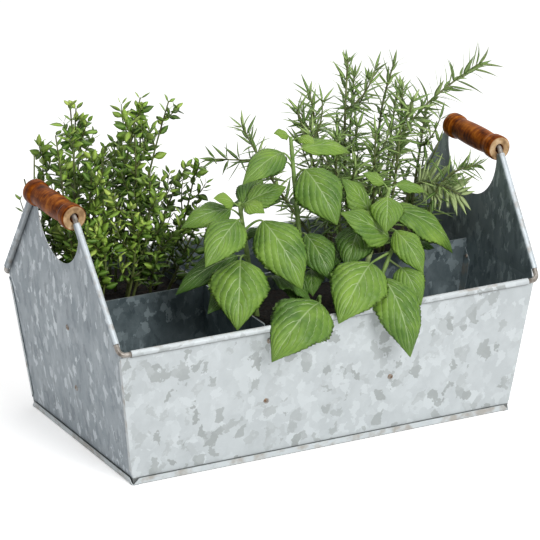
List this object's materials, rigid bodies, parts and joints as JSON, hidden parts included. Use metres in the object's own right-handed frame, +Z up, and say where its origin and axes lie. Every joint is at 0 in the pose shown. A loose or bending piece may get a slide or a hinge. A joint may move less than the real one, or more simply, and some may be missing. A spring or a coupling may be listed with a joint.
{
  "type": "herb planter",
  "caption": "Galvanised trough with leaning walls, a divided inside, wired rims, gable ends with finger cut-outs and turned wooden grips, planted with kitchen herbs.",
  "frame": {"origin": "on the ground under the middle of the trough", "axes": "+X along the trough to the right as seen from the front, -Y the front, +Z up"},
  "size_m": [0.4319, 0.2614, 0.29],
  "materials": {
    "galvanised_sheet": "hot-dip galvanised sheet with a visible spangle, matt",
    "steel_wire": "bare drawn wire, slightly browned",
    "rivet_steel": "blind rivets, dulled",
    "stained_wood": "turned, stained reddish brown and lacquered",
    "potting_soil": "bark-based potting mix, crumbly",
    "thyme_foliage": "small green leaves on woody twigs",
    "rosemary_foliage": "grey-green needles on woody twigs",
    "basil_stem": "fresh pale green stems",
    "basil_leaf": "fresh soft leaves with a satin sheen"
  },
  "bodies": {
    "planter": {"base_pan": "galvanised_sheet", "front_wall": "galvanised_sheet", "back_wall": "galvanised_sheet", "left_end_panel": "galvanised_sheet", "right_end_panel": "galvanised_sheet", "front_rim_wire": "steel_wire", "back_rim_wire": "steel_wire", "left_handle_wire": "steel_wire", "right_handle_wire": "steel_wire", "long_divider": "galvanised_sheet", "left_cross_divider": "galvanised_sheet", "right_cross_divider": "galvanised_sheet", "front_rivets": "rivet_steel", "back_rivets": "rivet_steel", "left_end_rivets": "rivet_steel", "right_end_rivets": "rivet_steel", "thyme_soil": "potting_soil", "thyme_twigs": "thyme_foliage", "rosemary_soil": "potting_soil", "rosemary_twigs": "rosemary_foliage", "basil_soil": "potting_soil", "basil_stems": "basil_stem", "basil_leaves": "basil_leaf"},
    "left_grip_body": {"left_grip": "stained_wood"},
    "right_grip_body": {"right_grip": "stained_wood"}
  },
  "joints": [
    {"name": "left_grip_spin", "type": "hinge", "parent": "planter", "child": "left_grip_body", "pos_m": [-0.2043, 0, 0.22], "axis": [0, 1, 0], "continuous": true},
    {"name": "right_grip_spin", "type": "hinge", "parent": "planter", "child": "right_grip_body", "pos_m": [0.2043, 0, 0.22], "axis": [0, 1, 0], "continuous": true}
  ]
}
